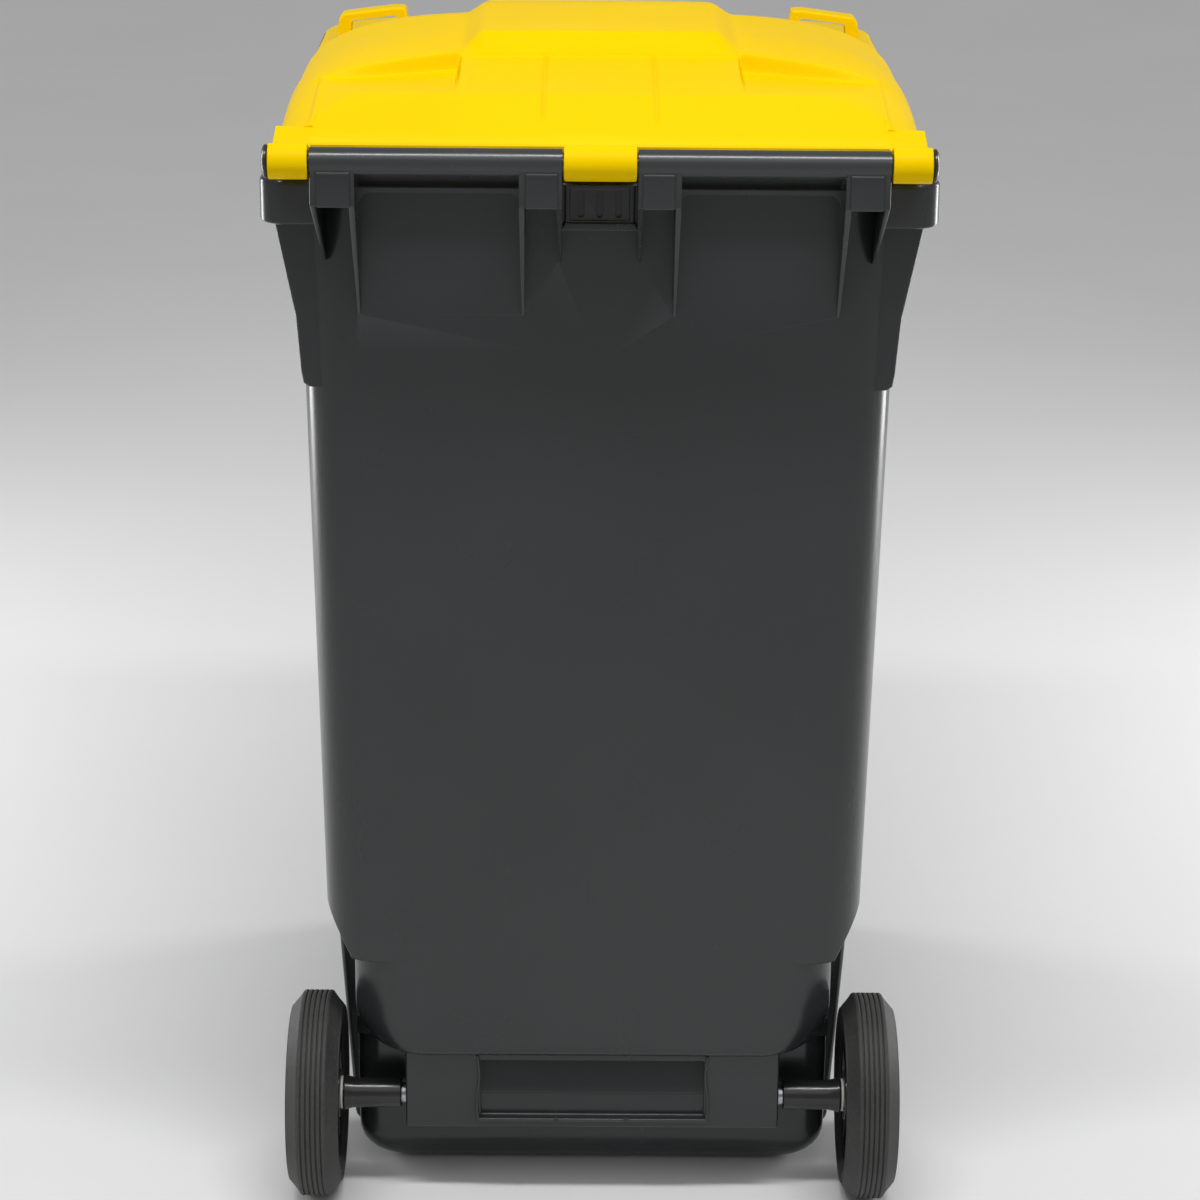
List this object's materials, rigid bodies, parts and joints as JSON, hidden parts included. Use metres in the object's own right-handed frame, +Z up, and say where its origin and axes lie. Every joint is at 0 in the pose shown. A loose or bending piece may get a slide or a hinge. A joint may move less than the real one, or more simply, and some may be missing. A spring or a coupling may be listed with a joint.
{
  "type": "wheelie bin",
  "caption": "Two-wheeled refuse bin with a tapered tub, rear grip bars, a domed hinged lid and rubber-tyred wheels on a steel axle.",
  "frame": {"origin": "on the ground under the centre of the closed bin's outer box", "axes": "+Z up, +Y towards the front of the bin, -Y towards the grip bars and wheels, X along the lid's hinge"},
  "size_m": [0.6, 0.871, 1.1147],
  "materials": {
    "tub_plastic": "anthracite injection-moulded polyethylene, fine satin skin",
    "lid_plastic": "yellow injection-moulded polyethylene, soft gloss",
    "black_plastic": "black moulded polypropylene",
    "tyre_rubber": "black solid rubber, matte and slightly speckled",
    "galvanised_steel": "zinc-plated steel",
    "nylon": "natural nylon"
  },
  "bodies": {
    "root": {"tub": "tub_plastic", "axle": "galvanised_steel", "transponder_plug": "black_plastic", "hinge_pin_left": "black_plastic", "axle_sleeve_left": "black_plastic", "hinge_pin_right": "black_plastic", "axle_sleeve_right": "black_plastic"},
    "lid": {"lid": "lid_plastic"},
    "wheel_left": {"wheel_hub_left": "black_plastic", "tyre_left": "tyre_rubber", "hub_bush_left": "nylon", "hub_cap_left": "black_plastic", "latch_spring_left": "galvanised_steel"},
    "latch_left": {"latch_bolt_left": "nylon"},
    "wheel_right": {"wheel_hub_right": "black_plastic", "tyre_right": "tyre_rubber", "hub_bush_right": "nylon", "hub_cap_right": "black_plastic", "latch_spring_right": "galvanised_steel"},
    "latch_right": {"latch_bolt_right": "nylon"}
  },
  "joints": [
    {"name": "lid_hinge", "type": "hinge", "parent": "root", "child": "lid", "pos_m": [0, -0.42, 1.046], "axis": [1, 0, 0], "range_deg": [0, 240]},
    {"name": "wheel_left_spin", "type": "hinge", "parent": "root", "child": "wheel_left", "pos_m": [-0.269, -0.316, 0.1], "axis": [1, 0, 0], "continuous": true},
    {"name": "latch_left_slide", "type": "slide", "parent": "wheel_left", "child": "latch_left", "axis": [0, 0, 1], "range_m": [0, 0.003], "stiffness_N_per_m": 600, "springref_m": -0.005, "deforming": ["latch_spring_left"]},
    {"name": "wheel_right_spin", "type": "hinge", "parent": "root", "child": "wheel_right", "pos_m": [0.269, -0.316, 0.1], "axis": [1, 0, 0], "continuous": true},
    {"name": "latch_right_slide", "type": "slide", "parent": "wheel_right", "child": "latch_right", "axis": [0, 0, 1], "range_m": [0, 0.003], "stiffness_N_per_m": 600, "springref_m": -0.005, "deforming": ["latch_spring_right"]}
  ]
}
